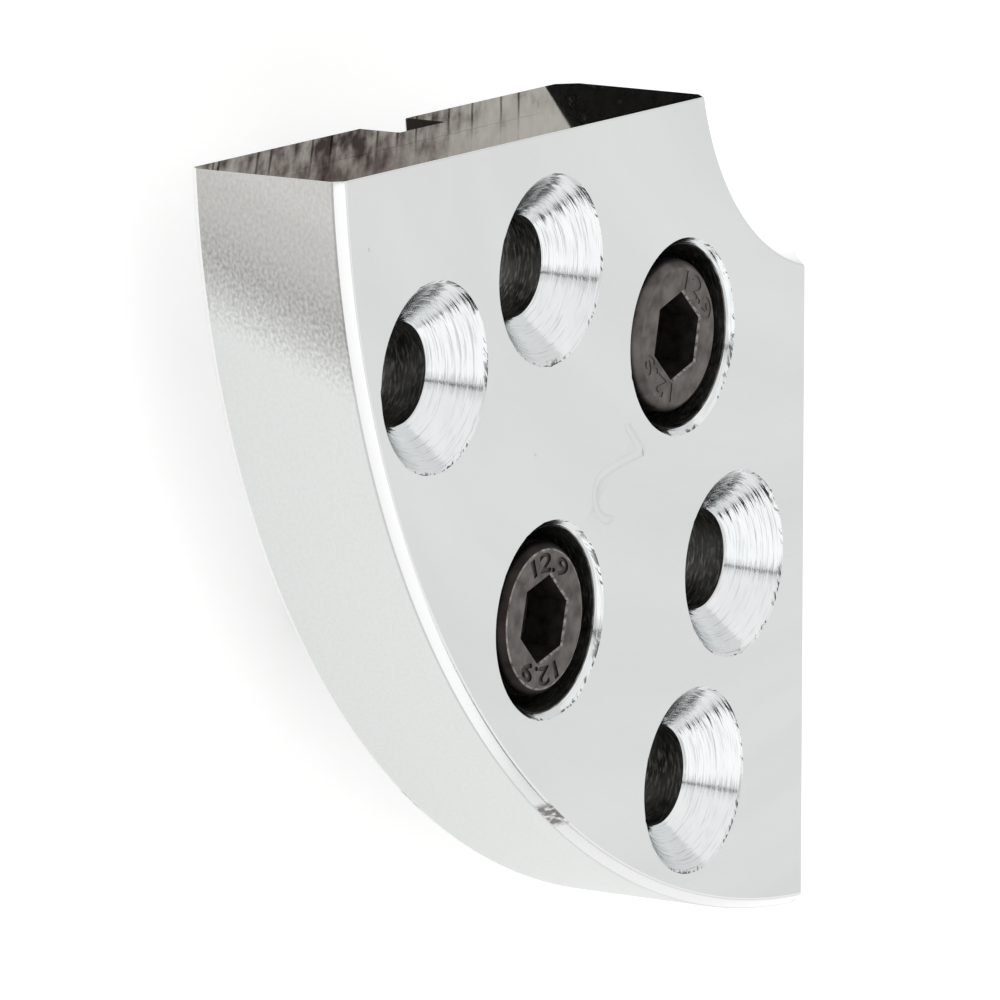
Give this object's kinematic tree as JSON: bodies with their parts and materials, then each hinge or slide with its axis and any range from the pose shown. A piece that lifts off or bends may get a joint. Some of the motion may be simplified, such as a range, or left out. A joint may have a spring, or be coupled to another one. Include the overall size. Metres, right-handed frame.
{
  "type": "wood jaw plate",
  "caption": "Quarter-ring steel jaw plate for a wood-turning chuck, with counterbored cap screws, countersunk holes for wood screws and a locating groove in the back.",
  "frame": {"origin": "midway between the two cap screws, in the plane of the back face that seats on the chuck's slide", "axes": "+Z out of the front face, along the chuck's axis; +X along the plate's middle line, from the chuck's axis towards the rim; +Y across the plate"},
  "size_m": [0.0457, 0.0786, 0.0184],
  "materials": {
    "plated_steel": "turned steel with bright satin plating",
    "black_oxide_steel": "black oxide, lightly oiled"
  },
  "bodies": {
    "root": {"jaw_plate": "plated_steel", "inner_cap_screw": "black_oxide_steel", "outer_cap_screw": "black_oxide_steel"}
  },
  "joints": []
}
